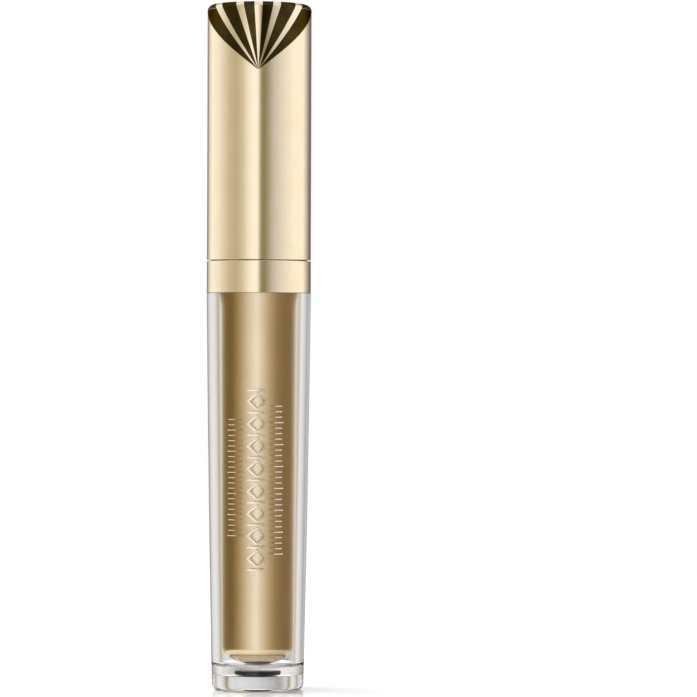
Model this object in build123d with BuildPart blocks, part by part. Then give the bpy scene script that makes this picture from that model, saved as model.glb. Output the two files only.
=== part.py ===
from build123d import *
import math
import os

os.makedirs("parts", exist_ok=True)

# A mascara tube, standing upright and closed. The clear tapered bottle holds a gold
# vial. The gold cap screws on the vial's neck and carries the wand.
# Origin: centre of the foot. +Z up, front towards -Y. All sizes in millimetres.

# ------------------------------------------------------------ driving dimensions

TOTAL_HEIGHT = 117.8
CAP_RADIUS = 9.0
CAP_LENGTH = 44.0
COLLAR_LENGTH = 5.5
SEAM = 0.15  # the thin shadow line between cap and collar
FOOT_RADIUS = 7.9
THREAD_PITCH = 2.0
THREAD_TURNS = 1.75
BRUSH_LENGTH = 23.1
BRUSH_RADIUS = 3.75

GLUE_GAP = 0.03  # radial gap of glued and snapped fits
EDGE_ROUND = 0.12

# heights worked out from those
CAP_BOTTOM = TOTAL_HEIGHT - CAP_LENGTH
COLLAR_TOP = CAP_BOTTOM - SEAM
COLLAR_BOTTOM = COLLAR_TOP - COLLAR_LENGTH

# outer bottle
FOOT_ROUND = 1.0
WALL_SAGITTA = 0.09  # how far the tapered side bulges from a straight line
SPIGOT_RADIUS = 8.2
SPIGOT_TOP = COLLAR_BOTTOM + 3.85
BORE_GAP = 0.15  # air between vial and clear bottle, at the bottom
BORE_MOUTH_RADIUS = 7.0
BORE_CORNER = 0.8
PUNT_RADIUS = 5.2
PUNT_EDGE_HEIGHT = 2.55
SEAT_RADIUS = 2.65  # shallow seat for the label in the recess's ceiling
SEAT_EDGE_HEIGHT = 2.85
SEAT_TOP = 3.3

# vial
VIAL_BOTTOM = 4.2
VIAL_DOME = 3.3  # height of its elliptical bottom
VIAL_LOW_RADIUS = 6.1
VIAL_HIGH_RADIUS = 6.4
VIAL_STRAIGHT_TOP = 65.0
VIAL_MOUTH_RADIUS = 6.85
VIAL_WALL = 0.9
FLANGE_THICKNESS = 0.8
FLANGE_TOP = SPIGOT_TOP + FLANGE_THICKNESS
NECK_RADIUS = 5.5
NECK_BORE = 4.4
NECK_TOP = 84.0

# screw thread
CREST_HEIGHT = 0.6
THREAD_BASE_WIDTH = 0.8
THREAD_CREST_WIDTH = 0.5
THREAD_ROOT_DEPTH = 0.25  # how far a thread is sunk into its wall
NECK_THREAD_START = 75.6
THREAD_HEIGHT = THREAD_PITCH * THREAD_TURNS
INSERT_THREAD_START = NECK_THREAD_START + THREAD_PITCH / 2

# cap, inside
SHELL_WALL = 0.5
SHELL_ROOF = 0.8
CAP_CORNER = 1.1
LINER_WALL = 0.87
LINER_BOTTOM = CAP_BOTTOM + 0.2
LINER_ROOF = 1.2
POST_RADIUS = 3.0
LINER_RIB_THICKNESS = 0.9
LINER_RIBS = 4
INSERT_BORE = 6.25
INSERT_RADIUS = 7.3
INSERT_RIB_THICKNESS = 0.8
INSERT_RIBS = 12
INSERT_ROOF_BOTTOM = 85.55
INSERT_TOP = 88.0
WEIGHT_LENGTH = 12.0
WEIGHT_BORE = 3.7

# wiper and seal
WIPER_FLANGE_RADIUS = 5.3
WIPER_FLANGE = 0.7
WIPER_WALL = 0.7
WIPER_ORIFICE = 2.3
WIPER_LIP_TOP = 78.0
WIPER_LIP_BOTTOM = 74.4
SEAL_BORE = 3.0
SEAL_RADIUS = 5.95
SEAL_THICKNESS = 0.78

# wand
STEM_RADIUS = 2.2
STEM_END_RADIUS = 2.05
STEM_END_TAPER = 6.0
STEM_END = 33.7
STEM_HEAD_RADIUS = 3.4
STEM_HEAD_HEIGHT = 1.2
SHANK_RADIUS = 1.0
SHANK_LENGTH = 6.5
CONE_RADIUS = 1.8
CONE_LENGTH = 1.6
CORE_RADIUS = 1.3
CORE_BORE = 0.82
CORE_CHAMFER = 0.3
ROD_RADIUS = 0.75  # across the flats of the rod, which has one flat for each column
TIP_RADIUS = 1.05
TIP_LENGTH = 0.7
BRUSH_TOP = STEM_END - CONE_LENGTH
BRUSH_BOTTOM = BRUSH_TOP - BRUSH_LENGTH

# bristles: twelve columns, half a column off the axes, neighbours set half a pitch apart
BRISTLES_PER_ROW = 6
BRISTLE_ROW_PITCH = 0.615
FIRST_ROW = 0.8  # below the top of the brush
BRISTLE_ROWS = 36
BRISTLE_ROOT_DEPTH = 0.2  # how far a bristle is sunk into the rod
BRISTLE_ROOT = 0.26
BRISTLE_TIP = 0.1
BRISTLE_HOLE = 0.28
COLUMN_ANGLE = 180 / BRISTLES_PER_ROW

BRUSH_TIP_RADIUS = 2.0
BRUSH_STRAIGHT_SHARE = 0.6  # of its length, from the stem, before it tapers

# paste and label
PASTE_TOP = 45.0
PASTE_FLOOR = 8.0
PASTE_CLEARANCE = 0.2
LABEL_RADIUS = 2.6
LABEL_THICKNESS = 0.45


# ------------------------------------------------------------ shared helpers


def domed_bottom(inset):
    """Elliptical bottom of the vial, from its axis out to its side, moved in by an inset."""
    return EllipticalCenterArc(
        (0, VIAL_BOTTOM + VIAL_DOME), VIAL_LOW_RADIUS - inset, VIAL_DOME - inset, 270, arc_size=90
    )


def thread_profile(root_radius, crest_radius):
    """Trapezium of one thread, drawn across the start of its helix."""
    root = root_radius - math.copysign(THREAD_ROOT_DEPTH, crest_radius - root_radius)
    middle = (root_radius + crest_radius) / 2
    Polyline(
        (root - middle, -THREAD_BASE_WIDTH / 2),
        (root_radius - middle, -THREAD_BASE_WIDTH / 2),
        (crest_radius - middle, -THREAD_CREST_WIDTH / 2),
        (crest_radius - middle, THREAD_CREST_WIDTH / 2),
        (root_radius - middle, THREAD_BASE_WIDTH / 2),
        (root - middle, THREAD_BASE_WIDTH / 2),
        close=True,
    )


def bristle_reach(height):
    """Radius of the brush at this height: straight near the stem, then tapering."""
    straight_end = BRUSH_TOP - BRUSH_STRAIGHT_SHARE * BRUSH_LENGTH
    if height >= straight_end:
        return BRUSH_RADIUS
    share = (straight_end - height) / (straight_end - BRUSH_BOTTOM)
    return BRUSH_RADIUS - (BRUSH_RADIUS - BRUSH_TIP_RADIUS) * share**1.3


def bristle_rows():
    """(height, first angle) of each row of bristles, from the stem to the tip."""
    for row in range(BRISTLE_ROWS):
        yield BRUSH_TOP - FIRST_ROW - row * BRISTLE_ROW_PITCH, COLUMN_ANGLE * (row % 2 + 0.5)


def save(part, name):
    part.label = name
    export_step(part, f"parts/{name}.step")


# ------------------------------------------------------------ outer bottle

with BuildPart() as outer_bottle:
    with BuildSketch(Plane.XZ):
        with BuildLine():
            bore_floor = VIAL_BOTTOM - BORE_GAP
            bore_radius = VIAL_LOW_RADIUS + BORE_GAP
            bore_end = Line((0, bore_floor), (bore_radius - BORE_CORNER, bore_floor))
            bend = RadiusArc(bore_end @ 1, (bore_radius, bore_floor + BORE_CORNER), -BORE_CORNER)
            shoulder = Polyline(
                bend @ 1,
                (BORE_MOUTH_RADIUS, SPIGOT_TOP),
                (SPIGOT_RADIUS - GLUE_GAP, SPIGOT_TOP),
                (SPIGOT_RADIUS - GLUE_GAP, COLLAR_BOTTOM),
                (CAP_RADIUS, COLLAR_BOTTOM),
            )
            side = SagittaArc(shoulder @ 1, (FOOT_RADIUS, 0), -WALL_SAGITTA)
            Polyline(
                side @ 1,
                (PUNT_RADIUS, 0),
                (PUNT_RADIUS, PUNT_EDGE_HEIGHT),
                (SEAT_RADIUS, SEAT_EDGE_HEIGHT),
                (SEAT_RADIUS, SEAT_TOP),
                (0, SEAT_TOP),
                bore_end @ 0,
            )
        make_face()
    revolve(axis=Axis.Z)
    foot_edges = outer_bottle.edges().filter_by(GeomType.CIRCLE).group_by(Axis.Z)[0]
    fillet(foot_edges.sort_by(SortBy.RADIUS)[-1], FOOT_ROUND)
save(outer_bottle.part, "outer_bottle")

# ------------------------------------------------------------ base label

with BuildPart() as base_label:
    with BuildSketch(Plane.XY.offset(SEAT_TOP - GLUE_GAP)):
        Circle(LABEL_RADIUS)
    extrude(amount=-LABEL_THICKNESS)
save(base_label.part, "base_label")

# ------------------------------------------------------------ vial with its threaded neck

with BuildPart() as vial:
    with BuildSketch(Plane.XZ):
        with BuildLine():
            bottom = domed_bottom(0)
            vial_side = Line(bottom @ 1, (VIAL_HIGH_RADIUS, VIAL_STRAIGHT_TOP))
            mouth = (VIAL_MOUTH_RADIUS, COLLAR_BOTTOM)
            flare = TangentArc(vial_side @ 1, mouth, tangent=vial_side % 1)
            inner_bottom = domed_bottom(VIAL_WALL)
            Polyline(
                flare @ 1,
                (VIAL_MOUTH_RADIUS, SPIGOT_TOP),
                (SPIGOT_RADIUS - GLUE_GAP, SPIGOT_TOP),
                (SPIGOT_RADIUS - GLUE_GAP, FLANGE_TOP),
                (NECK_RADIUS, FLANGE_TOP),
                (NECK_RADIUS, NECK_TOP),
                (NECK_BORE, NECK_TOP),
                (NECK_BORE, SPIGOT_TOP),
                (VIAL_HIGH_RADIUS - VIAL_WALL, VIAL_STRAIGHT_TOP + 1),
                inner_bottom @ 1,
            )
            Line(inner_bottom @ 0, bottom @ 0)
        make_face()
    revolve(axis=Axis.Z)
    with BuildLine():
        neck_helix = Helix(
            pitch=THREAD_PITCH,
            height=THREAD_HEIGHT,
            radius=NECK_RADIUS + CREST_HEIGHT / 2,
            center=(0, 0, NECK_THREAD_START),
        )
    with BuildSketch(Plane(neck_helix @ 0, x_dir=(1, 0, 0), z_dir=neck_helix % 0)):
        with BuildLine():
            thread_profile(NECK_RADIUS, NECK_RADIUS + CREST_HEIGHT)
        make_face()
    sweep(path=neck_helix, is_frenet=True)
save(vial.part, "vial")

# ------------------------------------------------------------ collar

with BuildPart() as collar:
    with BuildSketch(Plane.XZ):
        with BuildLine():
            Polyline(
                (CAP_RADIUS, COLLAR_BOTTOM),
                (CAP_RADIUS, COLLAR_TOP),
                (NECK_RADIUS + CREST_HEIGHT + 0.2, COLLAR_TOP),
                (NECK_RADIUS + CREST_HEIGHT + 0.2, FLANGE_TOP),
                (SPIGOT_RADIUS, FLANGE_TOP),
                (SPIGOT_RADIUS, COLLAR_BOTTOM),
                close=True,
            )
        make_face()
    revolve(axis=Axis.Z)
    collar_rims = collar.edges().filter_by(GeomType.CIRCLE).group_by(Axis.Z)
    outer_rims = [collar_rims[0].sort_by(SortBy.RADIUS)[-1], collar_rims[-1].sort_by(SortBy.RADIUS)[-1]]
    fillet(outer_rims, EDGE_ROUND)
save(collar.part, "collar")

# ------------------------------------------------------------ wiper in the neck

with BuildPart() as wiper:
    with BuildSketch(Plane.XZ):
        with BuildLine():
            sleeve = NECK_BORE - GLUE_GAP
            Polyline(
                (WIPER_FLANGE_RADIUS, NECK_TOP),
                (WIPER_FLANGE_RADIUS, NECK_TOP + WIPER_FLANGE),
                (sleeve - WIPER_WALL, NECK_TOP + WIPER_FLANGE),
                (sleeve - WIPER_WALL, WIPER_LIP_TOP),
                (WIPER_ORIFICE, WIPER_LIP_BOTTOM),
                (WIPER_ORIFICE + WIPER_WALL / 2, WIPER_LIP_BOTTOM),
                (sleeve, WIPER_LIP_TOP - WIPER_WALL),
                (sleeve, NECK_TOP),
                close=True,
            )
        make_face()
    revolve(axis=Axis.Z)
save(wiper.part, "wiper")

# ------------------------------------------------------------ mascara paste inside the vial

with BuildPart() as mascara_fill:
    with BuildSketch(Plane.XZ):
        with BuildLine():
            paste_bottom = domed_bottom(VIAL_WALL + GLUE_GAP)
            Polyline(
                paste_bottom @ 1,
                (VIAL_LOW_RADIUS - VIAL_WALL - GLUE_GAP, PASTE_TOP),
                (BRUSH_RADIUS + PASTE_CLEARANCE, PASTE_TOP - 1.5),
                (BRUSH_RADIUS + PASTE_CLEARANCE, PASTE_FLOOR),
                (0, PASTE_FLOOR),
                paste_bottom @ 0,
            )
        make_face()
    revolve(axis=Axis.Z)
save(mascara_fill.part, "mascara_fill")

# ------------------------------------------------------------ neck seal

with BuildPart() as neck_seal:
    with BuildSketch(Plane.XY.offset(NECK_TOP + WIPER_FLANGE + GLUE_GAP)):
        Circle(SEAL_RADIUS)
        Circle(SEAL_BORE, mode=Mode.SUBTRACT)
    extrude(amount=SEAL_THICKNESS)
save(neck_seal.part, "neck_seal")

# ------------------------------------------------------------ cap shell

with BuildPart() as cap_shell:
    with BuildSketch(Plane.XY.offset(CAP_BOTTOM)):
        Circle(CAP_RADIUS)
    extrude(amount=CAP_LENGTH)
    with BuildSketch(Plane.XY.offset(CAP_BOTTOM)):
        Circle(CAP_RADIUS - SHELL_WALL)
    extrude(amount=CAP_LENGTH - SHELL_ROOF, mode=Mode.SUBTRACT)
    shell_rims = cap_shell.edges().filter_by(GeomType.CIRCLE).group_by(Axis.Z)
    fillet(shell_rims[-1], CAP_CORNER)
    fillet(shell_rims[0].sort_by(SortBy.RADIUS)[-1], EDGE_ROUND)
save(cap_shell.part, "cap_shell")

# ------------------------------------------------------------ cap liner, with post and ribs

LINER_RADIUS = CAP_RADIUS - SHELL_WALL - GLUE_GAP
LINER_TOP = TOTAL_HEIGHT - SHELL_ROOF - GLUE_GAP
STEM_TOP = INSERT_TOP + STEM_HEAD_HEIGHT
WEIGHT_BOTTOM = INSERT_TOP + 0.05
WEIGHT_TOP = WEIGHT_BOTTOM + WEIGHT_LENGTH
RIB_BOTTOM = WEIGHT_TOP + 0.25

with BuildPart() as cap_liner:
    with BuildSketch(Plane.XY.offset(LINER_BOTTOM)):
        Circle(LINER_RADIUS)
    extrude(amount=LINER_TOP - LINER_BOTTOM)
    with BuildSketch(Plane.XY.offset(LINER_BOTTOM)):
        Circle(LINER_RADIUS - LINER_WALL)
    extrude(amount=LINER_TOP - LINER_ROOF - LINER_BOTTOM, mode=Mode.SUBTRACT)
    with BuildSketch(Plane.XY.offset(STEM_TOP + GLUE_GAP)):
        Circle(POST_RADIUS)
    extrude(amount=LINER_TOP - STEM_TOP - GLUE_GAP)
    with BuildSketch(Plane.XY.offset(RIB_BOTTOM)):
        with PolarLocations(0, LINER_RIBS):
            Rectangle(LINER_RADIUS - 0.2, LINER_RIB_THICKNESS, align=(Align.MIN, Align.CENTER))
    extrude(amount=LINER_TOP - RIB_BOTTOM)
    liner_edges = cap_liner.edges().filter_by(GeomType.CIRCLE).group_by(Axis.Z)[-1]
    fillet(liner_edges, CAP_CORNER - SHELL_WALL)
save(cap_liner.part, "cap_liner")

# ------------------------------------------------------------ weight ring in the cap

with BuildPart() as cap_weight:
    with BuildSketch(Plane.XY.offset(WEIGHT_BOTTOM)):
        Circle(LINER_RADIUS - LINER_WALL - 0.25)
        Circle(WEIGHT_BORE, mode=Mode.SUBTRACT)
    extrude(amount=WEIGHT_LENGTH)
    chamfer(cap_weight.edges().filter_by(GeomType.CIRCLE), 0.3)
save(cap_weight.part, "cap_weight")

# ------------------------------------------------------------ screw insert

with BuildPart() as screw_insert:
    with BuildSketch(Plane.XY.offset(LINER_BOTTOM)):
        Circle(INSERT_RADIUS)
        with PolarLocations(0, INSERT_RIBS):
            Rectangle(
                LINER_RADIUS - LINER_WALL - GLUE_GAP,
                INSERT_RIB_THICKNESS,
                align=(Align.MIN, Align.CENTER),
            )
    extrude(amount=INSERT_TOP - LINER_BOTTOM)
    with BuildSketch(Plane.XY.offset(LINER_BOTTOM)):
        Circle(INSERT_BORE)
    extrude(amount=INSERT_ROOF_BOTTOM - LINER_BOTTOM, mode=Mode.SUBTRACT)
    with BuildSketch(Plane.XY.offset(LINER_BOTTOM)):
        Circle(STEM_RADIUS + GLUE_GAP)
    extrude(amount=INSERT_TOP - LINER_BOTTOM, mode=Mode.SUBTRACT)
    with BuildLine():
        insert_helix = Helix(
            pitch=THREAD_PITCH,
            height=THREAD_HEIGHT,
            radius=INSERT_BORE - CREST_HEIGHT / 2,
            center=(0, 0, INSERT_THREAD_START),
        )
    with BuildSketch(Plane(insert_helix @ 0, x_dir=(1, 0, 0), z_dir=insert_helix % 0)):
        with BuildLine():
            thread_profile(INSERT_BORE, INSERT_BORE - CREST_HEIGHT)
        make_face()
    sweep(path=insert_helix, is_frenet=True)
save(screw_insert.part, "screw_insert")

# ------------------------------------------------------------ stem

with BuildPart() as stem:
    with BuildSketch(Plane.XZ):
        with BuildLine():
            Polyline(
                (SHANK_RADIUS + GLUE_GAP, STEM_END),
                (STEM_END_RADIUS, STEM_END),
                (STEM_RADIUS, STEM_END + STEM_END_TAPER),
                (STEM_RADIUS, INSERT_TOP),
                (STEM_HEAD_RADIUS, INSERT_TOP),
                (STEM_HEAD_RADIUS, STEM_TOP),
                (0, STEM_TOP),
                (0, STEM_END + SHANK_LENGTH + 0.5),
                (SHANK_RADIUS + GLUE_GAP, STEM_END + SHANK_LENGTH + 0.5),
                close=True,
            )
        make_face()
    revolve(axis=Axis.Z)
    stem_end = stem.edges().filter_by(GeomType.CIRCLE).group_by(Axis.Z)[0]
    fillet(stem_end.sort_by(SortBy.RADIUS)[-1], EDGE_ROUND)
save(stem.part, "stem")

# ------------------------------------------------------------ brush core

with BuildPart() as brush_core:
    with BuildSketch(Plane.XZ):
        with BuildLine():
            Polyline(
                (0, STEM_END + SHANK_LENGTH),
                (SHANK_RADIUS, STEM_END + SHANK_LENGTH),
                (SHANK_RADIUS, STEM_END - GLUE_GAP),
                (CONE_RADIUS, STEM_END - GLUE_GAP),
                (SHANK_RADIUS, BRUSH_TOP),
                (CORE_RADIUS, BRUSH_TOP - CORE_CHAMFER),
                (CORE_RADIUS, BRUSH_BOTTOM),
                (CORE_BORE, BRUSH_BOTTOM),
                (CORE_BORE, BRUSH_TOP - CORE_CHAMFER),
                (0, BRUSH_TOP - CORE_CHAMFER),
                close=True,
            )
        make_face()
    revolve(axis=Axis.Z)
    for height, first_angle in bristle_rows():
        with Locations((0, 0, height)):
            with PolarLocations(0, BRISTLES_PER_ROW, start_angle=first_angle):
                Cylinder(
                    BRISTLE_HOLE,
                    CORE_RADIUS + 0.2,
                    rotation=(0, 90, 0),
                    align=(Align.CENTER, Align.CENTER, Align.MIN),
                    mode=Mode.SUBTRACT,
                )
save(brush_core.part, "brush_core")

# ------------------------------------------------------------ bristles on their inner rod

with BuildPart() as bristles:
    with BuildSketch(Plane.XZ):
        with BuildLine():
            shoulder = Line((0, BRUSH_BOTTOM - GLUE_GAP), (TIP_RADIUS, BRUSH_BOTTOM - GLUE_GAP))
            tip = TangentArc((0, BRUSH_BOTTOM - TIP_LENGTH), shoulder @ 1, tangent=(1, 0))
            Line(tip @ 0, shoulder @ 0)
        make_face()
    revolve(axis=Axis.Z)
    with BuildSketch(Plane.XY.offset(BRUSH_BOTTOM - GLUE_GAP)):
        RegularPolygon(ROD_RADIUS, 2 * BRISTLES_PER_ROW, major_radius=False)
    extrude(amount=BRUSH_LENGTH - CORE_CHAMFER)
    root = ROD_RADIUS - BRISTLE_ROOT_DEPTH
    for height, first_angle in bristle_rows():
        with Locations((0, 0, height)):
            with PolarLocations(root, BRISTLES_PER_ROW, start_angle=first_angle):
                Cone(
                    BRISTLE_ROOT,
                    BRISTLE_TIP,
                    bristle_reach(height) - root,
                    rotation=(0, 90, 0),
                    align=(Align.CENTER, Align.CENTER, Align.MIN),
                )
save(bristles.part, "bristles")
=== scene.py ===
import math
import random

import bmesh
import bpy
from mathutils import Matrix, Vector


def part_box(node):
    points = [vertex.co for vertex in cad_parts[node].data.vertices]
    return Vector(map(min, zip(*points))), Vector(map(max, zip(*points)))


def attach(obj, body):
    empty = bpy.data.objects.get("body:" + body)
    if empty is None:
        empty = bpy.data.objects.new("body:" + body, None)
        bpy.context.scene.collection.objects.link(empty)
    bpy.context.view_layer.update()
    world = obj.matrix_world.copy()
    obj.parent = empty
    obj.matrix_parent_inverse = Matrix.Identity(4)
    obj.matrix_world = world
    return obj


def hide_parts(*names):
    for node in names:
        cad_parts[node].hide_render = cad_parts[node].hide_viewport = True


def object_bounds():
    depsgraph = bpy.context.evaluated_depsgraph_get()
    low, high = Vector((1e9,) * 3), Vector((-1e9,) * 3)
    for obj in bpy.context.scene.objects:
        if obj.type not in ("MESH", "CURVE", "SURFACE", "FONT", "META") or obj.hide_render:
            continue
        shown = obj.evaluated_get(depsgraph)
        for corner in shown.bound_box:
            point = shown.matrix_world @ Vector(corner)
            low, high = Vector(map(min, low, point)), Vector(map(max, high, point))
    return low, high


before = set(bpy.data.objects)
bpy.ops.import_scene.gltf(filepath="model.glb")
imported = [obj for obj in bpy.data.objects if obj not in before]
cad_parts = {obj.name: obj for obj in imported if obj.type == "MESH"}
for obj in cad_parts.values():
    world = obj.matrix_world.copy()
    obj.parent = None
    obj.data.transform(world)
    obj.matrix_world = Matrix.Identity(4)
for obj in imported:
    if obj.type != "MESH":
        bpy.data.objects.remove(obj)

# A gold-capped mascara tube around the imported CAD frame. Every length is in metres, written
# in millimetres times MM. Heights and radii that the frame knows come from its boxes.

MM = 0.001
cad_low, cad_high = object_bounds()
HEIGHT = cad_high.z - cad_low.z
AXIS = Vector(((cad_low.x + cad_high.x) / 2, (cad_low.y + cad_high.y) / 2, 0))
ROUND = 256  # segments round a large turned piece
SMALL_ROUND = 96
TIP_ROUND = 48

# ------------------------------------------------------------ places read from the frame


def low(node):
    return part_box(node)[0].z


def high(node):
    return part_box(node)[1].z


def radius(node):
    box_low, box_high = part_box(node)
    return (box_high.x - box_low.x) / 2


CAP_RADIUS = radius("cap_shell")
CAP_BOTTOM = low("cap_shell")
CAP_TOP = high("cap_shell")
COLLAR_BOTTOM = low("collar")
COLLAR_TOP = high("collar")
SPIGOT_TOP = high("outer_bottle")
VIAL_BOTTOM = low("vial")
NECK_TOP = high("vial")
SPIGOT_RADIUS = radius("vial")
BRUSH_BOTTOM = low("brush_core")
TIP_BOTTOM = low("bristles")
STEM_END = low("stem")
STEM_TOP = high("stem")
LABEL_RADIUS = radius("base_label")
LABEL_BOTTOM = low("base_label")
LABEL_TOP = high("base_label")

# turned profiles that the boxes don't show
FILM = 0.012 * MM  # thickness of the printed lacquer
CAP_CORNER = 1.1 * MM
SHELL_WALL = 0.5 * MM
SHELL_ROOF = 0.8 * MM
EDGE_ROUND = 0.12 * MM
FOOT_RADIUS = 7.9 * MM
FOOT_ROUND = 1.0 * MM
WALL_SAGITTA = 0.09 * MM
PUNT_RADIUS = 5.2 * MM
PUNT_EDGE_HEIGHT = 2.55 * MM
PUNT_LIP = 0.2 * MM
PUNT_CORNER = 0.1 * MM
SEAT_RADIUS = 2.65 * MM
SEAT_EDGE_HEIGHT = 2.85 * MM
SEAT_TOP = LABEL_TOP + 0.03 * MM
BEDDING = 0.02 * MM
BORE_GAP = 0.15 * MM
BORE_CORNER = 0.8 * MM
BORE_MOUTH_RADIUS = 7.0 * MM
VIAL_LOW_RADIUS = 6.1 * MM
VIAL_HIGH_RADIUS = 6.4 * MM
VIAL_DOME = 3.3 * MM  # height of the vial's elliptical bottom
VIAL_STRAIGHT_TOP = 65.0 * MM
VIAL_MOUTH_RADIUS = 6.85 * MM
VIAL_WALL = 0.9 * MM
FLANGE_TOP = SPIGOT_TOP + 0.8 * MM
NECK_RADIUS = 5.5 * MM
NECK_BORE = 4.4 * MM
CREST_HEIGHT = 0.6 * MM
THREAD_PITCH = 2.0 * MM
THREAD_TURNS = 1.75
THREAD_START = 75.6 * MM
THREAD_ROOT_DEPTH = 0.25 * MM
THREAD_BASE_WIDTH = 0.8 * MM
THREAD_CREST_WIDTH = 0.5 * MM
THREAD_FADE_STEPS = 10
STEM_RADIUS = 2.2 * MM
STEM_END_RADIUS = 2.05 * MM
STEM_END_ROUND = 0.25 * MM
STEM_TAPER = 6.0 * MM
STEM_MIDDLE = 24 * MM  # height of an extra ring of points, above the stem's end
STEM_HEAD = 1.2 * MM
CONE_RADIUS = 1.8 * MM
SHANK_RADIUS = 1.0 * MM
BRUSH_TOP = STEM_END - 1.6 * MM
CORE_RADIUS = 1.3 * MM
CORE_CHAMFER = 0.3 * MM
TIP_RADIUS = 1.05 * MM
BRISTLES_PER_ROW = 6
COLUMN_ANGLE = math.pi / BRISTLES_PER_ROW
BRISTLE_ROWS = 36
BRISTLE_PITCH = 0.615 * MM
FIRST_ROW = 0.8 * MM
BRUSH_RADIUS = 3.75 * MM
BRUSH_TIP_RADIUS = 2.0 * MM
BRUSH_STRAIGHT_SHARE = 0.6  # of its length, from the stem, before it tapers
BRUSH_TAPER_POWER = 1.3
BRISTLE_ROOT = 0.31 * MM
BRISTLE_TIP = 0.09 * MM
BRISTLE_TAPER_POWER = 1.2
BRISTLE_START = 0.6 * CORE_RADIUS  # where a bristle's root lies inside the core
BRISTLE_BEND = 0.12 * MM  # largest drift of a tip, up or down
BRISTLE_SWAY = 0.07 * MM  # and sideways
BRISTLE_SHORTFALL = 0.05 * MM

# ------------------------------------------------------------ mesh helpers


def new_object(name, mesh, material, body, replaced=None):
    """Places a finished piece: material, body, slot and the CAD node that it stands for."""
    piece = bpy.data.objects.new(name, mesh)
    bpy.context.scene.collection.objects.link(piece)
    mesh.materials.append(material)
    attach(piece, body)
    if replaced:
        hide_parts(replaced)


def finish_mesh(name, bm, sharp_degrees=28):
    """Turns a bmesh into a mesh, smooth but for edges sharper than the angle."""
    bmesh.ops.remove_doubles(bm, verts=bm.verts, dist=1e-7)
    bmesh.ops.recalc_face_normals(bm, faces=bm.faces)
    for face in bm.faces:
        face.smooth = True
    for edge in bm.edges:
        if len(edge.link_faces) == 2:
            edge.smooth = edge.calc_face_angle(0) < math.radians(sharp_degrees)
    mesh = bpy.data.meshes.new(name)
    bm.to_mesh(mesh)
    bm.free()
    return mesh


def arc(centre, size, start, end, steps):
    """Points of an arc in the (radius, height) plane. Angles in degrees from outward."""
    turns = [math.radians(start + (end - start) * i / steps) for i in range(steps + 1)]
    return [(centre[0] + size * math.cos(a), centre[1] + size * math.sin(a)) for a in turns]


def straight(start, end, steps):
    return [
        (start[0] + (end[0] - start[0]) * i / steps, start[1] + (end[1] - start[1]) * i / steps)
        for i in range(steps + 1)
    ]


def on_circle(bm, r, angle, z):
    return bm.verts.new((AXIS.x + r * math.cos(angle), AXIS.y + r * math.sin(angle), z))


def skin_rings(bm, one, other):
    """Faces between two closed rings with the same number of points."""
    for i in range(len(one)):
        j = (i + 1) % len(one)
        bm.faces.new((one[i], one[j], other[j], other[i]))


def lathe(bm, profile, segments):
    """Adds a closed surface turned round the axis. A profile point on it is one vertex."""
    rings = []
    for r, z in profile:
        if r < 1e-7:
            rings.append([bm.verts.new((AXIS.x, AXIS.y, z))])
            continue
        rings.append([on_circle(bm, r, math.tau * i / segments, z) for i in range(segments)])
    for one, other in zip(rings, rings[1:] + rings[:1]):
        if len(one) == 1 and len(other) == 1:
            continue
        for i in range(segments):
            j = (i + 1) % segments
            corners = [one[i % len(one)], one[j % len(one)]]
            corners += [other[j % len(other)], other[i % len(other)]]
            kept = []
            for corner in corners:
                if corner not in kept:
                    kept.append(corner)
            bm.faces.new(kept)


def turned(name, profile, material, body, replaced=None, segments=ROUND):
    bm = bmesh.new()
    lathe(bm, profile, segments)
    new_object(name, finish_mesh(name, bm), material, body, replaced)


def helix_ridge(bm, steps_per_turn=96):
    """The neck's thread: a closed trapezoid ridge, its ends drawn down into the wall."""
    steps = int(THREAD_TURNS * steps_per_turn)
    sunk = NECK_RADIUS - THREAD_ROOT_DEPTH
    base, top = THREAD_BASE_WIDTH / 2, THREAD_CREST_WIDTH / 2
    rows = []
    for i in range(steps + 1):
        a = math.tau * i / steps_per_turn
        z = THREAD_START + THREAD_PITCH * i / steps_per_turn
        fade = min(1, i / THREAD_FADE_STEPS, (steps - i) / THREAD_FADE_STEPS)
        tip = NECK_RADIUS + CREST_HEIGHT * max(fade, 0.02)
        outline = ((sunk, -base), (NECK_RADIUS, -base), (tip, -top))
        outline += ((tip, top), (NECK_RADIUS, base), (sunk, base))
        rows.append([on_circle(bm, r, a, z + dz) for r, dz in outline])
    for one, other in zip(rows, rows[1:]):
        skin_rings(bm, one, other)
    bm.faces.new(rows[0])
    bm.faces.new(rows[-1][::-1])


# ------------------------------------------------------------ material helpers


def material(name, **values):
    """A Principled material. Keyword names are socket names with spaces as underscores."""
    made = bpy.data.materials.new(name)
    made.use_nodes = True
    shader = made.node_tree.nodes["Principled BSDF"]
    for key, value in values.items():
        shader.inputs[key.replace("_", " ")].default_value = value
    return made, made.node_tree, shader


def node(tree, kind, **values):
    made = tree.nodes.new(kind)
    for key, value in values.items():
        if key in made.inputs:
            made.inputs[key].default_value = value
        else:
            setattr(made, key, value)
    return made


def noise(tree, scale, detail=4.0, stretch=(1, 1, 1)):
    """Noise in the piece's own coordinates, scale in cycles per metre."""
    place = node(tree, "ShaderNodeTexCoord")
    mapping = node(tree, "ShaderNodeMapping")
    mapping.inputs["Scale"].default_value = stretch
    made = node(tree, "ShaderNodeTexNoise", Scale=scale, Detail=detail)
    tree.links.new(place.outputs["Object"], mapping.inputs["Vector"])
    tree.links.new(mapping.outputs["Vector"], made.inputs["Vector"])
    return made.outputs["Fac"]


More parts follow.
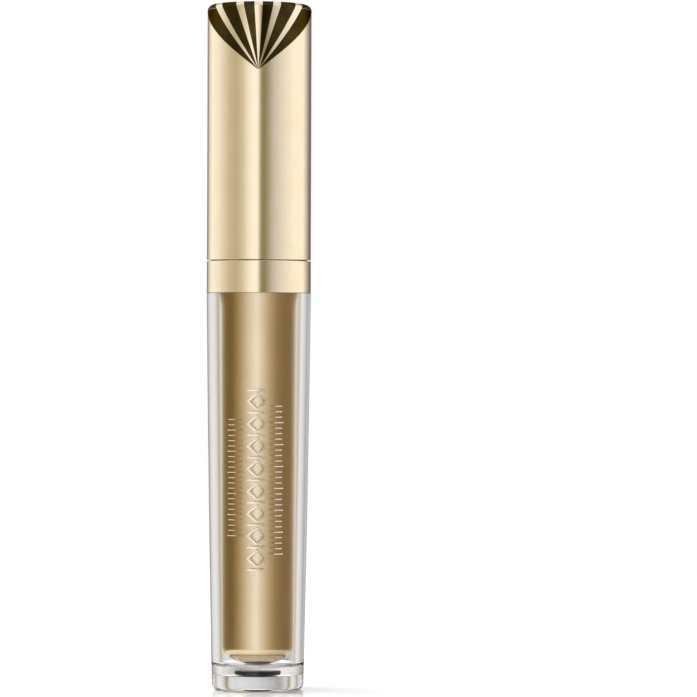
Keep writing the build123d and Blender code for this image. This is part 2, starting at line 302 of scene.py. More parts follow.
def ranged(tree, value, low_value, high_value, from_low=0.3, from_high=0.7):
    made = node(tree, "ShaderNodeMapRange")
    made.inputs["From Min"].default_value = from_low
    made.inputs["From Max"].default_value = from_high
    made.inputs["To Min"].default_value = low_value
    made.inputs["To Max"].default_value = high_value
    tree.links.new(value, made.inputs["Value"])
    return made.outputs["Result"]


def vary_roughness(tree, shader, scale, rough_low, rough_high, stretch=(1, 1, 1)):
    value = ranged(tree, noise(tree, scale, 5.0, stretch), rough_low, rough_high)
    tree.links.new(value, shader.inputs["Roughness"])


def add_bump(tree, shader, scale, distance, strength=0.5, stretch=(1, 1, 1), detail=4.0):
    bump = node(tree, "ShaderNodeBump")
    bump.inputs["Strength"].default_value = strength
    bump.inputs["Distance"].default_value = distance
    tree.links.new(noise(tree, scale, detail, stretch), bump.inputs["Height"])
    tree.links.new(bump.outputs["Normal"], shader.inputs["Normal"])


def vary_colour(tree, shader, scale, first, second, stretch=(1, 1, 1)):
    ramp = node(tree, "ShaderNodeValToRGB")
    ramp.color_ramp.elements[0].position = 0.35
    ramp.color_ramp.elements[1].position = 0.65
    ramp.color_ramp.elements[0].color = (*first, 1)
    ramp.color_ramp.elements[1].color = (*second, 1)
    tree.links.new(noise(tree, scale, 3.0, stretch), ramp.inputs["Fac"])
    tree.links.new(ramp.outputs["Color"], shader.inputs["Base Color"])


# ------------------------------------------------------------ materials


def make_gold_metal():
    """Polished gold anodising: soft long reflections with a very fine grain."""
    made, tree, shader = material("gold_anodised", Metallic=1.0)
    vary_colour(tree, shader, 260, (0.93, 0.79, 0.565), (0.955, 0.815, 0.595))
    vary_roughness(tree, shader, 900, 0.10, 0.15, (1, 1, 0.25))
    add_bump(tree, shader, 5200, 0.004 * MM, 0.25, (1, 1, 0.4))
    return made


def make_gold_lacquer():
    """Metallised vial: satin, a shade deeper than the cap."""
    made, tree, shader = material("gold_lacquer", Metallic=1.0, Coat_Weight=0.3, Coat_Roughness=0.12)
    vary_colour(tree, shader, 180, (0.80, 0.615, 0.36), (0.84, 0.65, 0.39))
    vary_roughness(tree, shader, 400, 0.21, 0.26)
    add_bump(tree, shader, 700, 0.002 * MM, 0.2, detail=2.0)
    return made


def make_acrylic():
    made, tree, shader = material("clear_acrylic", Transmission_Weight=1.0, IOR=1.49)
    shader.inputs["Base Color"].default_value = (0.985, 0.985, 0.992, 1)
    vary_roughness(tree, shader, 600, 0.004, 0.012)
    add_bump(tree, shader, 150, 0.004 * MM, 0.1, detail=1.0)
    return made


def make_print():
    """Bronze-black metallic film, printed over the gold."""
    made, tree, shader = material("fan_lacquer", Metallic=1.0)
    shader.inputs["Specular Tint"].default_value = (0.5, 0.4, 0.25, 1)
    vary_colour(tree, shader, 420, (0.044, 0.030, 0.008), (0.062, 0.044, 0.013))
    vary_roughness(tree, shader, 1500, 0.09, 0.14)
    add_bump(tree, shader, 6000, 0.003 * MM, 0.3)
    return made


def make_foil():
    made, tree, shader = material("foil_cream", Metallic=0.85)
    vary_colour(tree, shader, 500, (0.96, 0.90, 0.74), (1.0, 0.95, 0.82))
    vary_roughness(tree, shader, 1600, 0.20, 0.32)
    add_bump(tree, shader, 7000, 0.004 * MM, 0.3)
    return made


def make_black_gloss():
    made, tree, shader = material("black_gloss", Specular_IOR_Level=0.3)
    vary_colour(tree, shader, 300, (0.004, 0.004, 0.005), (0.008, 0.008, 0.009))
    vary_roughness(tree, shader, 900, 0.10, 0.17, (1, 1, 0.2))
    add_bump(tree, shader, 4200, 0.004 * MM, 0.3)
    return made


def make_black_matte():
    made, tree, shader = material("black_matte", Specular_IOR_Level=0.15)
    vary_colour(tree, shader, 900, (0.004, 0.003, 0.001), (0.012, 0.010, 0.005))
    vary_roughness(tree, shader, 2500, 0.30, 0.48)
    add_bump(tree, shader, 9000, 0.008 * MM, 0.5)
    return made


def make_bristle():
    """Yellow elastomer, lighter and clearer towards the tips."""
    made, tree, shader = material("bristle_yellow", Subsurface_Weight=0.25, Subsurface_Scale=0.4 * MM)
    shader.inputs["Subsurface Radius"].default_value = (1.0, 0.9, 0.2)
    place = node(tree, "ShaderNodeTexCoord")
    flat = node(tree, "ShaderNodeVectorMath", operation="MULTIPLY")
    flat.inputs[1].default_value = (1, 1, 0)
    reach = node(tree, "ShaderNodeVectorMath", operation="LENGTH")
    tree.links.new(place.outputs["Object"], flat.inputs[0])
    tree.links.new(flat.outputs["Vector"], reach.inputs[0])
    share = ranged(tree, reach.outputs["Value"], 0, 1, CORE_RADIUS, BRUSH_RADIUS)
    ramp = node(tree, "ShaderNodeValToRGB")
    ramp.color_ramp.elements[0].color = (0.72, 0.66, 0.01, 1)
    ramp.color_ramp.elements[1].color = (0.98, 0.97, 0.42, 1)
    middle = ramp.color_ramp.elements.new(0.35)
    middle.color = (0.93, 0.88, 0.01, 1)
    tree.links.new(share, ramp.inputs["Fac"])
    tree.links.new(ramp.outputs["Color"], shader.inputs["Base Color"])
    vary_roughness(tree, shader, 3000, 0.28, 0.42)
    add_bump(tree, shader, 9000, 0.005 * MM, 0.3)
    return made


def make_moulded(name, first, second, rough_low, rough_high):
    """Plain injection moulding with a faint flow pattern."""
    made, tree, shader = material(name)
    vary_colour(tree, shader, 220, first, second)
    vary_roughness(tree, shader, 900, rough_low, rough_high)
    add_bump(tree, shader, 3500, 0.01 * MM, 0.4)
    return made


def make_paste():
    made, tree, shader = material("mascara_paste", Coat_Weight=0.5, Coat_Roughness=0.15)
    vary_colour(tree, shader, 600, (0.004, 0.004, 0.005), (0.012, 0.011, 0.012))
    vary_roughness(tree, shader, 700, 0.18, 0.45)
    add_bump(tree, shader, 900, 0.15 * MM, 0.8)
    return made


def make_steel():
    made, tree, shader = material("zinc_plated_steel", Metallic=1.0)
    vary_colour(tree, shader, 400, (0.54, 0.55, 0.57), (0.66, 0.66, 0.66))
    vary_roughness(tree, shader, 1200, 0.25, 0.42, (1, 1, 0.1))
    add_bump(tree, shader, 4500, 0.01 * MM, 0.4, (1, 1, 0.1))
    return made


GOLD_METAL = make_gold_metal()
GOLD_LACQUER = make_gold_lacquer()
ACRYLIC = make_acrylic()
FAN_LACQUER = make_print()
FOIL = make_foil()
BLACK_GLOSS = make_black_gloss()
BLACK_MATTE = make_black_matte()
BRISTLE = make_bristle()
LINER = make_moulded("liner_plastic", (0.70, 0.69, 0.66), (0.78, 0.77, 0.74), 0.32, 0.48)
SOFT = make_moulded("soft_plastic", (0.74, 0.74, 0.73), (0.82, 0.82, 0.81), 0.45, 0.60)
PASTE = make_paste()
STEEL = make_steel()

# ------------------------------------------------------------ cap shell and collar

SKIN = CAP_RADIUS - FILM  # the metal stops one film's thickness inside the CAD box
SKIN_TOP = CAP_TOP - FILM


def make_cap_shell():
    inner = CAP_RADIUS - SHELL_WALL
    rim = arc((SKIN - EDGE_ROUND, CAP_BOTTOM + EDGE_ROUND), EDGE_ROUND, -90, 0, 5)
    profile = rim + straight((SKIN, CAP_BOTTOM + 2 * MM), (SKIN, SKIN_TOP - CAP_CORNER), 12)[:-1]
    profile += arc((SKIN - CAP_CORNER, SKIN_TOP - CAP_CORNER), CAP_CORNER, 0, 90, 14)
    profile += [(SKIN * 0.4, SKIN_TOP), (0, SKIN_TOP), (0, CAP_TOP - SHELL_ROOF)]
    profile += [(inner, CAP_TOP - SHELL_ROOF), (inner, CAP_BOTTOM + 0.05 * MM)]
    profile += [(inner + 0.05 * MM, CAP_BOTTOM)]
    turned("cap_shell_skin", profile, GOLD_METAL, "applicator", "cap_shell")


def make_collar():
    inner = NECK_RADIUS + CREST_HEIGHT + 0.2 * MM
    profile = arc((CAP_RADIUS - EDGE_ROUND, COLLAR_BOTTOM + EDGE_ROUND), EDGE_ROUND, -90, 0, 5)
    profile += arc((CAP_RADIUS - EDGE_ROUND, COLLAR_TOP - EDGE_ROUND), EDGE_ROUND, 0, 90, 5)
    profile += [(inner + 0.1 * MM, COLLAR_TOP), (inner, COLLAR_TOP - 0.1 * MM)]
    profile += [(inner, FLANGE_TOP), (SPIGOT_RADIUS + 0.03 * MM, FLANGE_TOP)]
    profile += [(SPIGOT_RADIUS + 0.03 * MM, COLLAR_BOTTOM)]
    turned("collar_ring", profile, GOLD_METAL, "bottle", "collar")


make_cap_shell()
make_collar()

# ------------------------------------------------------------ printed fan on the cap

FAN_DEPTH = 11.75 * MM  # apex below the cap's top
FAN_GAP = 0.12 * MM  # from the apex to the start of the rays
FAN_REACH = 0.97  # share of the cap's rounded corner that the rays cover
FAN_SIDE = SKIN_TOP - CAP_CORNER - (CAP_TOP - FAN_DEPTH)  # from the apex to the rounded corner
FAN_RAYS = ((3.6, 13.0), (19.6, 32.3), (38.4, 51.9))  # degrees either side of upright


def cap_surface(run, across, lift):
    """Point on the cap's skin: run along its profile above the apex, across round it."""
    angle = across / CAP_RADIUS
    if run <= FAN_SIDE:
        r, z = SKIN + lift, CAP_TOP - FAN_DEPTH + run
    else:
        bend = min((run - FAN_SIDE) / CAP_CORNER, math.pi / 2)
        r = SKIN - CAP_CORNER + (CAP_CORNER + lift) * math.cos(bend)
        z = SKIN_TOP - CAP_CORNER + (CAP_CORNER + lift) * math.sin(bend)
    return Vector((AXIS.x + r * math.sin(angle), AXIS.y - r * math.cos(angle), z))


def add_ray(bm, first, second, top_run, rows=44, columns=12):
    """One ray of the fan, a thin closed film between two angles from upright."""
    layers = []
    for lift in (-FILM, FILM):
        layer = []
        for i in range(rows + 1):
            run = FAN_GAP + (top_run - FAN_GAP) * i / rows
            line = []
            for j in range(columns + 1):
                slope = math.tan(math.radians(first)) * (1 - j / columns)
                slope += math.tan(math.radians(second)) * j / columns
                line.append(bm.verts.new(cap_surface(run, run * slope, lift)))
            layer.append(line)
        layers.append(layer)
    lower, upper = layers
    for i in range(rows):
        for j in range(columns):
            bm.faces.new((upper[i][j], upper[i][j + 1], upper[i + 1][j + 1], upper[i + 1][j]))
            bm.faces.new((lower[i][j], lower[i + 1][j], lower[i + 1][j + 1], lower[i][j + 1]))
        for j in (0, columns):
            bm.faces.new((lower[i][j], upper[i][j], upper[i + 1][j], lower[i + 1][j]))
    for j in range(columns):
        for i in (0, rows):
            bm.faces.new((lower[i][j], lower[i][j + 1], upper[i][j + 1], upper[i][j]))


def make_fan():
    bm = bmesh.new()
    top_run = FAN_SIDE + CAP_CORNER * math.pi / 2 * FAN_REACH
    for first, second in FAN_RAYS:
        for side in (1, -1):
            add_ray(bm, side * first, side * second, top_run)
    mesh = finish_mesh("fan_print", bm, 60)
    new_object("fan_print", mesh, FAN_LACQUER, "applicator")


make_fan()

# ------------------------------------------------------------ vial and clear bottle


def bottle_radius(z):
    share = z / COLLAR_BOTTOM
    bulge = WALL_SAGITTA * 4 * share * (1 - share)
    return FOOT_RADIUS + (CAP_RADIUS - FOOT_RADIUS) * share + bulge


def flare(steps=14):
    """Vial's shoulder: leaves the side smoothly and opens out below the collar."""
    reach = VIAL_MOUTH_RADIUS - VIAL_HIGH_RADIUS
    rise = COLLAR_BOTTOM - VIAL_STRAIGHT_TOP
    points = []
    for i in range(steps + 1):
        t = i / steps
        points.append((VIAL_HIGH_RADIUS + reach * t**2, VIAL_STRAIGHT_TOP + rise * t))
    return points


def dome_profile(inset, steps=28):
    """Elliptical bottom of the vial, from its axis out to its side."""
    points = []
    for i in range(steps + 1):
        a = math.pi / 2 * i / steps
        drop = (VIAL_DOME - inset) * math.cos(a)
        points.append(((VIAL_LOW_RADIUS - inset) * math.sin(a), VIAL_BOTTOM + VIAL_DOME - drop))
    return points


def make_vial():
    bottom = dome_profile(0)
    profile = bottom[:-1] + straight(bottom[-1], (VIAL_HIGH_RADIUS, VIAL_STRAIGHT_TOP), 10)[:-1]
    profile += flare() + [(VIAL_MOUTH_RADIUS, SPIGOT_TOP)]
    profile += [(SPIGOT_RADIUS, SPIGOT_TOP), (SPIGOT_RADIUS, FLANGE_TOP), (NECK_RADIUS, FLANGE_TOP)]
    profile += [(NECK_RADIUS, NECK_TOP - 0.15 * MM), (NECK_RADIUS - 0.15 * MM, NECK_TOP)]
    profile += [(NECK_BORE, NECK_TOP), (NECK_BORE, SPIGOT_TOP)]
    profile += [(VIAL_HIGH_RADIUS - VIAL_WALL, VIAL_STRAIGHT_TOP + 1 * MM)]
    profile += dome_profile(VIAL_WALL, 14)[::-1]
    bm = bmesh.new()
    lathe(bm, profile, ROUND)
    helix_ridge(bm)
    mesh = finish_mesh("vial_gold", bm)
    new_object("vial_gold", mesh, GOLD_LACQUER, "bottle", "vial")


def outer_side(steps=48):
    """Outside of the clear bottle, from under the collar down to the foot's rounding."""
    top, bottom = COLLAR_BOTTOM, FOOT_ROUND
    points = []
    for i in range(steps + 1):
        z = top + (bottom - top) * i / steps
        points.append((bottle_radius(z), z))
    return points


def make_outer_bottle():
    side = outer_side()
    last = side[-1][0]
    bore_floor = VIAL_BOTTOM - BORE_GAP
    bore_radius = VIAL_LOW_RADIUS + BORE_GAP
    bend = arc((bore_radius - BORE_CORNER, bore_floor + BORE_CORNER), BORE_CORNER, -90, 0, 12)
    profile = [(0, bore_floor)] + bend[:-1]
    profile += straight(bend[-1], (BORE_MOUTH_RADIUS, SPIGOT_TOP), 10)
    profile += [(SPIGOT_RADIUS, SPIGOT_TOP), (SPIGOT_RADIUS, COLLAR_BOTTOM)]
    profile += side
    profile += arc((last - FOOT_ROUND, FOOT_ROUND), FOOT_ROUND, 0, -90, 12)[1:]
    profile += arc((PUNT_RADIUS + PUNT_LIP, PUNT_LIP), PUNT_LIP, 270, 180, 5)
    punt_corner = (PUNT_RADIUS - PUNT_CORNER, PUNT_EDGE_HEIGHT - PUNT_CORNER)
    profile += arc(punt_corner, PUNT_CORNER, 0, 80, 4)
    profile += [(SEAT_RADIUS, SEAT_EDGE_HEIGHT), (SEAT_RADIUS, SEAT_TOP), (0, SEAT_TOP)]
    turned("bottle_clear", profile, ACRYLIC, "bottle", "outer_bottle")


def make_base_label():
    """Black disc in its seat, bedded a hair into the acrylic as glue would join them."""
    wide = SEAT_RADIUS + BEDDING
    top = SEAT_TOP + BEDDING
    bevel = 2 * BEDDING
    profile = [(0, top), (wide - bevel, top), (wide, top - bevel), (wide, SEAT_EDGE_HEIGHT)]
    profile += [(LABEL_RADIUS, SEAT_EDGE_HEIGHT), (LABEL_RADIUS, LABEL_BOTTOM), (0, LABEL_BOTTOM)]
    turned("base_label_disc", profile, BLACK_MATTE, "bottle", "base_label", SMALL_ROUND)


make_vial()
make_outer_bottle()
make_base_label()

# ------------------------------------------------------------ raised foil frieze

FRIEZE_MIDDLE = 36.2 * MM
FRIEZE_LENGTH = 30.6 * MM
FRIEZE_WIDTH = 3.4 * MM
DIAMONDS = 8
DIAMOND_SHARE = 0.36  # half a diamond's height, as a share of the pitch
FOIL_LIFT = 0.05 * MM
LINE_WIDTH = 0.30 * MM
LINE_CREST = 0.8  # share of the width that is left at the top of a line
LINE_SECTION = (
    (1, -FOIL_LIFT),
    (LINE_CREST, FOIL_LIFT),
    (-LINE_CREST, FOIL_LIFT),
    (-1, -FOIL_LIFT),
)
TICK_WIDTH = 0.6 * LINE_WIDTH
TICK_PITCH = 0.9 * MM
TICK_HALF = 0.62 * MM
LONG_TICK_HALF = 0.85 * MM  # every fourth tick
# columns of ticks: (across, length, middle)
TICK_COLUMNS = ((-4.6 * MM, 19.8 * MM, 36.6 * MM), (3.75 * MM, 25.2 * MM, 36.2 * MM))


def on_bottle(across, z, lift):
    r = bottle_radius(z) + lift
    angle = across / bottle_radius(z)
    return Vector((AXIS.x + r * math.sin(angle), AXIS.y - r * math.cos(angle), z))


def add_band(bm, points, width, closed):
    """A raised foil line of trapezium section along points given as (across, height)."""
    count = len(points)
    rows = []
    for i, (x, z) in enumerate(points):
        before = points[(i - 1) % count] if closed or i > 0 else points[i]
        after = points[(i + 1) % count] if closed or i < count - 1 else points[i]
        dx, dz = after[0] - before[0], after[1] - before[1]
        size = math.hypot(dx, dz)
        nx, nz = -dz / size * width / 2, dx / size * width / 2
        section = [on_bottle(x + nx * k, z + nz * k, lift) for k, lift in LINE_SECTION]
        rows.append([bm.verts.new(point) for point in section])
    pairs = list(zip(rows, rows[1:]))
    if closed:
        pairs.append((rows[-1], rows[0]))
    for one, other in pairs:
        skin_rings(bm, one, other)
    if not closed:
        bm.faces.new(rows[0][::-1])
        bm.faces.new(rows[-1])


def make_frieze():
    """A plain frieze of open diamonds between bars, with a column of fine ticks either side."""
    bm = bmesh.new()
    half = FRIEZE_WIDTH / 2
    pitch = FRIEZE_LENGTH / DIAMONDS
    for k in range(DIAMONDS):
        z = FRIEZE_MIDDLE + (k - (DIAMONDS - 1) / 2) * pitch
        reach = pitch * DIAMOND_SHARE
        corners = ((-half, z), (0, z + reach), (half, z), (0, z - reach))
        loop = []
        for start, end in zip(corners, corners[1:] + corners[:1]):
            loop += straight(start, end, 10)[:-1]
        add_band(bm, loop, LINE_WIDTH, True)
    for k in range(DIAMONDS + 1):
        z = FRIEZE_MIDDLE + (k - DIAMONDS / 2) * pitch
        add_band(bm, straight((-half, z), (half, z), 10), LINE_WIDTH, False)
    for across, length, middle in TICK_COLUMNS:
        count = int(length / TICK_PITCH)
        for k in range(count + 1):
            z = middle + length * (k / count - 0.5)
            wide = TICK_HALF if k % 4 else LONG_TICK_HALF
            tick = straight((across - wide, z), (across + wide, z), 4)
            add_band(bm, tick, TICK_WIDTH, False)
    mesh = finish_mesh("foil_frieze", bm, 30)
    new_object("foil_frieze", mesh, FOIL, "bottle")


make_frieze()

# ------------------------------------------------------------ stem, brush core and bristles


def make_stem():
    head_low = STEM_TOP - STEM_HEAD
    head = radius("stem")
    flat = STEM_END_RADIUS - STEM_END_ROUND
    profile = [(0, STEM_END), (flat, STEM_END)]
    profile += arc((flat, STEM_END + STEM_END_ROUND), STEM_END_ROUND, -90, 0, 6)[1:]
    profile += [(STEM_RADIUS, STEM_END + STEM_TAPER), (STEM_RADIUS, STEM_END + STEM_MIDDLE)]
    profile += [(STEM_RADIUS, head_low), (head, head_low), (head, STEM_TOP), (0, STEM_TOP)]
    turned("stem_rod", profile, BLACK_GLOSS, "applicator", "stem", SMALL_ROUND)


def rows_of_bristles():
    """(height, first angle) of each row, from the stem to the tip."""
    for row in range(BRISTLE_ROWS):
        yield BRUSH_TOP - FIRST_ROW - row * BRISTLE_PITCH, COLUMN_ANGLE * (row % 2 + 0.5)


def brush_reach(z):
    straight_end = BRUSH_TOP - BRUSH_STRAIGHT_SHARE * (BRUSH_TOP - BRUSH_BOTTOM)
    if z >= straight_end:
        return BRUSH_RADIUS
    share = (straight_end - z) / (straight_end - BRUSH_BOTTOM)
    return BRUSH_RADIUS - (BRUSH_RADIUS - BRUSH_TIP_RADIUS) * share**BRUSH_TAPER_POWER


LATTICE_BAND = 0.42  # half width of a lattice bar, in columns
LATTICE_STEEPNESS = 1.5
LATTICE_DEPTH = 0.20 * MM
KNOT_HEIGHT = 0.06 * MM


def core_height(angle, z):
    """Radius of the core at a point: a diamond lattice whose knots hold the bristles."""
    column = angle / COLUMN_ANGLE - 0.5
    row = (BRUSH_TOP - FIRST_ROW - z) / BRISTLE_PITCH
    ridge = 0
    knot = 1
    for diagonal in (column + row, column - row):
        off = abs(((diagonal + 1) % 2) - 1)
        ridge = max(ridge, 1 - off / LATTICE_BAND)
        knot *= math.cos(math.pi * diagonal / 2) ** 2
    ridge = max(0.0, min(1.0, ridge * LATTICE_STEEPNESS))
    return CORE_RADIUS - LATTICE_DEPTH * (1 - ridge) + KNOT_HEIGHT * knot**6


def make_core():
    bm = bmesh.new()
    around, along = 144, 440
    top, bottom = BRUSH_TOP - CORE_CHAMFER, BRUSH_BOTTOM
    turns = [math.tau * j / around for j in range(around)]
    rings = []
    for i in range(along + 1):
        z = top + (bottom - top) * i / along
        rings.append([on_circle(bm, core_height(a, z), a, z) for a in turns])
    for one, other in zip(rings, rings[1:]):
        skin_rings(bm, one, other)
    bm.faces.new(rings[0])
    bm.faces.new(rings[-1][::-1])
    cone = [(0, STEM_END + 0.2 * MM), (CONE_RADIUS - 0.1 * MM, STEM_END + 0.1 * MM)]
    cone += [(CONE_RADIUS, STEM_END - 0.1 * MM), (CONE_RADIUS * 0.92, STEM_END - 0.45 * MM)]
    cone += [(SHANK_RADIUS, BRUSH_TOP), (CORE_RADIUS - 0.05 * MM, BRUSH_TOP - CORE_CHAMFER)]
    cone += [(0, BRUSH_TOP - CORE_CHAMFER - 0.02 * MM)]
    lathe(bm, cone, SMALL_ROUND)
    mesh = finish_mesh("brush_core_lattice", bm, 45)
    new_object("brush_core_lattice", mesh, BLACK_MATTE, "applicator", "brush_core")


def add_bristle(bm, base, direction, length, bend):
    """One tapered bristle with a round tip, bent a little along its length."""
    side = direction.cross(Vector((0, 0, 1))).normalized()
    up = side.cross(direction).normalized()
    sides, steps, tip_steps = 12, 9, 4
    rings = []
    for i in range(steps + 1):
        t = i / steps
        size = BRISTLE_ROOT + (BRISTLE_TIP - BRISTLE_ROOT) * t**BRISTLE_TAPER_POWER
        centre = base + direction * (length - BRISTLE_TIP) * t + bend * t**2
        rings.append((centre, size))
    end = rings[-1][0]
    for k in range(1, tip_steps):
        a = math.pi / 2 * k / tip_steps
        rings.append((end + direction * BRISTLE_TIP * math.sin(a), BRISTLE_TIP * math.cos(a)))
    loops = []
    for centre, size in rings:
        loop = []
        for j in range(sides):
            a = math.tau * j / sides
            loop.append(bm.verts.new(centre + (side * math.cos(a) + up * math.sin(a)) * size))
        loops.append(loop)
    for one, other in zip(loops, loops[1:]):
        skin_rings(bm, one, other)
    bm.faces.new(loops[0][::-1])
    apex = bm.verts.new(end + direction * BRISTLE_TIP)
    for j in range(sides):
        bm.faces.new((loops[-1][j], loops[-1][(j + 1) % sides], apex))


def make_bristles():
    rng = random.Random(7)
    bm = bmesh.new()
    for z, first in rows_of_bristles():
        for k in range(BRISTLES_PER_ROW):
            a = first + math.tau * k / BRISTLES_PER_ROW
            direction = Vector((math.cos(a), math.sin(a), 0))
            bend = Vector((0, 0, rng.uniform(-1, 1) * BRISTLE_BEND))
            bend += direction.cross(Vector((0, 0, 1))) * rng.uniform(-1, 1) * BRISTLE_SWAY
            length = brush_reach(z) - BRISTLE_START - rng.uniform(0, 1) * BRISTLE_SHORTFALL
            base = Vector((AXIS.x, AXIS.y, z)) + direction * BRISTLE_START
            add_bristle(bm, base, direction, length, bend)
    drop = BRUSH_BOTTOM - TIP_BOTTOM
    dome = (TIP_RADIUS**2 + drop**2) / (2 * drop)
    edge = math.degrees(math.asin(TIP_RADIUS / dome))
    tip_top = BRUSH_BOTTOM + 0.1 * MM
    tip = [(0, tip_top), (TIP_RADIUS - 0.08 * MM, tip_top)]
    tip += [(TIP_RADIUS, BRUSH_BOTTOM)]
    tip += arc((0, TIP_BOTTOM + dome), dome, -90 + edge, -90, 12)[1:]
    lathe(bm, tip, TIP_ROUND)
    mesh = finish_mesh("bristles_soft", bm, 50)
    new_object("bristles_soft", mesh, BRISTLE, "applicator", "bristles")


make_stem()
make_core()
make_bristles()

# ------------------------------------------------------------ CAD nodes that stay

KEPT = {
    "wiper": SOFT,
    "neck_seal": SOFT,
    "mascara_fill": PASTE,
    "cap_liner": LINER,
    "screw_insert": LINER,
    "cap_weight": STEEL,
}
for name, look in KEPT.items():
    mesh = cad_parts[name].data
    for index in range(len(mesh.materials)):
        mesh.materials[index] = look
    if not mesh.materials:
        mesh.materials.append(look)

# ------------------------------------------------------------ camera

VIEW_HEIGHT = 1.0195 * HEIGHT
DISTANCE = 5.87 * HEIGHT
EYE_HEIGHT = 0.4981 * HEIGHT
SIDEWAYS = 0.1314 * HEIGHT
ROLL = math.radians(0.18)

camera_data = bpy.data.cameras.new("camera")
camera_data.sensor_width = 36
camera_data.lens = camera_data.sensor_width * DISTANCE / VIEW_HEIGHT
camera_data.clip_start = 0.01
camera = bpy.data.objects.new("camera", camera_data)
camera.location = (AXIS.x + SIDEWAYS, AXIS.y - DISTANCE, cad_low.z + EYE_HEIGHT)
level = Matrix.Rotation(math.pi / 2, 3, "X")
camera.rotation_euler = (level @ Matrix.Rotation(ROLL, 3, "Z")).to_euler()
bpy.context.scene.collection.objects.link(camera)
bpy.context.scene.camera = camera

# ------------------------------------------------------------ studio: floor, world and lamp

FLOOR_DROP = 0.05 * MM  # gap between the foot and the floor
FLOOR_ROUND = 128
# radius of the floor disc under the foot that glows: painted light, a painted caustic
PAINTED_CAUSTIC_RADIUS = 7.0 * MM
MIDDLE_RADIUS = 22 * MM
FLOOR_RADIUS = 3.2 * HEIGHT
FLOOR_COLOUR = (0.92, 0.92, 0.915, 1)


def floor_part(name, inner, outer, look):
    """A flat ring of the floor, just below the foot."""
    bm = bmesh.new()
    height = cad_low.z - FLOOR_DROP
    turns = [math.tau * i / FLOOR_ROUND for i in range(FLOOR_ROUND)]
    rings = [[on_circle(bm, size, a, height) for a in turns] for size in (outer, inner)]
    skin_rings(bm, *rings)
    mesh = bpy.data.meshes.new(name)
    bm.to_mesh(mesh)
    bm.free()
    piece = bpy.data.objects.new(name, mesh)
    mesh.materials.append(look)
    bpy.context.scene.collection.objects.link(piece)
    return piece


def make_floor():
    """White table, its disc under the foot glowing with a painted caustic. Only its middle shows in
    reflections, as in a studio with a small table.
    """
    white, tree, shader = material("floor_white", Base_Color=FLOOR_COLOUR)
    vary_roughness(tree, shader, 9, 0.14, 0.17)
    # painted light: this disc under the foot emits light, a painted caustic standing in for light
    # that passes down through the clear base onto the floor
    painted_caustic, tree, shader = material("floor_painted_caustic", Base_Color=FLOOR_COLOUR, Emission_Strength=0.40)
    shader.inputs["Emission Color"].default_value = (1, 0.98, 0.95, 1)
    vary_roughness(tree, shader, 9, 0.3, 0.4)
    floor_part("floor_painted_caustic", 0.001 * MM, PAINTED_CAUSTIC_RADIUS, painted_caustic)
    floor_part("floor_middle", PAINTED_CAUSTIC_RADIUS, MIDDLE_RADIUS, white)
    outer = floor_part("floor_outer", MIDDLE_RADIUS, FLOOR_RADIUS, white)
    outer.visible_glossy = False
    outer.visible_transmission = False


# The studio round the object. Azimuth 0 is behind the camera, + to the right.
# What polished surfaces reflect: (azimuth, brightness).
STUDIO = (
    (-180, 1.05),
    (-171, 1.00),
    (-165, 0.26),
    (-154, 0.26),
    (-146, 0.60),
    (-138, 0.86),
    (-125, 1.07),
    (-101, 0.96),
    (-82, 0.74),
    (-66, 0.56),
    (-50, 0.50),
    (-36, 0.65),
    (-22, 0.95),
    (-10, 1.12),
    (-2, 1.10),
    (5, 0.30),
    (12, 0.23),
    (19, 0.33),
    (31, 0.58),
    (45, 0.75),
    (60, 0.88),
    (84, 1.05),
    (115, 1.07),
    (128, 0.64),
    (147, 0.18),
    (165, 0.18),
    (171, 1.00),
    (180, 1.05),
)
# What is seen and reflected through the clear bottle: (azimuth, red, green, blue).
STUDIO_CLEAR = (
    (-180, 0.60, 0.60, 0.60),
    (-172, 0.74, 0.74, 0.74),
    (-155, 0.82, 0.81, 0.79),
    (-138, 0.74, 0.70, 0.62),
    (-123, 0.44, 0.36, 0.24),
    (-108, 0.21, 0.14, 0.03),
    (-80, 0.20, 0.13, 0.02),
    (-60, 0.42, 0.33, 0.16),
    (-42, 0.68, 0.62, 0.48),
    (-22, 0.96, 0.98, 1.02),
    (-3, 1.14, 1.27, 1.50),
    (14, 0.90, 0.91, 0.92),
    (33, 0.60, 0.53, 0.38),
    (55, 0.33, 0.25, 0.11),
    (80, 0.24, 0.155, 0.03),
    (108, 0.22, 0.15, 0.03),
    (123, 0.48, 0.40, 0.28),
    (138, 0.86, 0.82, 0.76),
    (155, 0.64, 0.64, 0.63),
    (168, 0.36, 0.36, 0.36),
    (180, 0.60, 0.60, 0.60),
)
STUDIO_PEAK = 1.5  # ramp colours are divided by this, and the background multiplies by it
OVERHEAD = 0.9  # brightness straight above


def studio_ramp(tree, share, stops):
    ramp = node(tree, "ShaderNodeValToRGB")
    elements = ramp.color_ramp.elements
    while len(elements) > 1:
        elements.remove(elements[-1])
    for index, (azimuth, red, green, blue) in enumerate(stops):
        position = (azimuth + 180) / 360
        element = elements[0] if index == 0 else elements.new(position)
        element.position = position
        element.color = (red / STUDIO_PEAK, green / STUDIO_PEAK, blue / STUDIO_PEAK, 1)
    tree.links.new(share, ramp.inputs["Fac"])
    return ramp.outputs["Color"]


def gray(level):
    return (level, level, level, 1)


def mixed(tree, share, first, second):
    mix = node(tree, "ShaderNodeMix", data_type="RGBA")
    tree.links.new(share, mix.inputs["Factor"])
    for index, source in ((6, first), (7, second)):
        if isinstance(source, tuple):
            mix.inputs[index].default_value = source
        else:
            tree.links.new(source, mix.inputs[index])
    return mix.outputs[2]


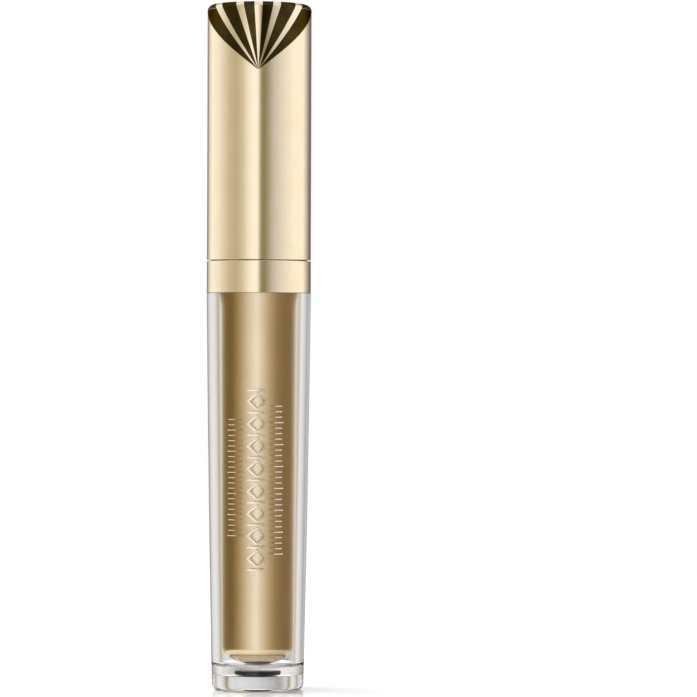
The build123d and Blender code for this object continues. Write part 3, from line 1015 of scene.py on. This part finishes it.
def make_world():
    world = bpy.data.worlds.new("studio")
    bpy.context.scene.world = world
    world.use_nodes = True
    tree = world.node_tree
    background = tree.nodes["Background"]
    place = node(tree, "ShaderNodeTexCoord")
    split = node(tree, "ShaderNodeSeparateXYZ")
    tree.links.new(place.outputs["Generated"], split.inputs["Vector"])
    front = node(tree, "ShaderNodeMath", operation="MULTIPLY")
    front.inputs[1].default_value = -1
    tree.links.new(split.outputs["Y"], front.inputs[0])
    turn = node(tree, "ShaderNodeMath", operation="ARCTAN2")
    tree.links.new(split.outputs["X"], turn.inputs[0])
    tree.links.new(front.outputs["Value"], turn.inputs[1])
    share = ranged(tree, turn.outputs["Value"], 0, 1, -math.pi, math.pi)
    # dim parts of the studio's left and front are warmer
    warm = []
    for azimuth, level in STUDIO:
        tint = 1 - min(1.0, level) if -135 < azimuth < 25 else 0.0
        warm.append((azimuth, level * (1 + 0.15 * tint), level, level * (1 - 0.45 * tint)))
    paths = node(tree, "ShaderNodeLightPath")
    through = paths.outputs["Is Transmission Ray"]
    around = mixed(
        tree, through, studio_ramp(tree, share, warm), studio_ramp(tree, share, STUDIO_CLEAR)
    )
    overhead = ranged(tree, split.outputs["Z"], 0, 1, 0.55, 0.9)
    soft = mixed(tree, overhead, around, gray(OVERHEAD / STUDIO_PEAK))
    seen = mixed(tree, paths.outputs["Is Camera Ray"], soft, gray(1 / STUDIO_PEAK))
    tree.links.new(seen, background.inputs["Color"])
    background.inputs["Strength"].default_value = STUDIO_PEAK


def make_top_light():
    """Large soft box overhead that lights the floor and stays out of the reflections."""
    data = bpy.data.lights.new("top_box", "AREA")
    data.shape = "DISK"
    data.size = 4 * HEIGHT
    data.energy = 5.5
    lamp = bpy.data.objects.new("top_box", data)
    lamp.location = (AXIS.x - 2.5 * HEIGHT, AXIS.y + 0.5 * HEIGHT, 6.5 * HEIGHT)
    aim = Vector((0, 0, 0.5 * HEIGHT)) - lamp.location
    lamp.rotation_euler = aim.to_track_quat("-Z", "Y").to_euler()
    lamp.visible_glossy = False
    lamp.visible_transmission = False
    bpy.context.scene.collection.objects.link(lamp)


make_floor()
make_world()
make_top_light()
bpy.context.scene.view_settings.view_transform = "Standard"
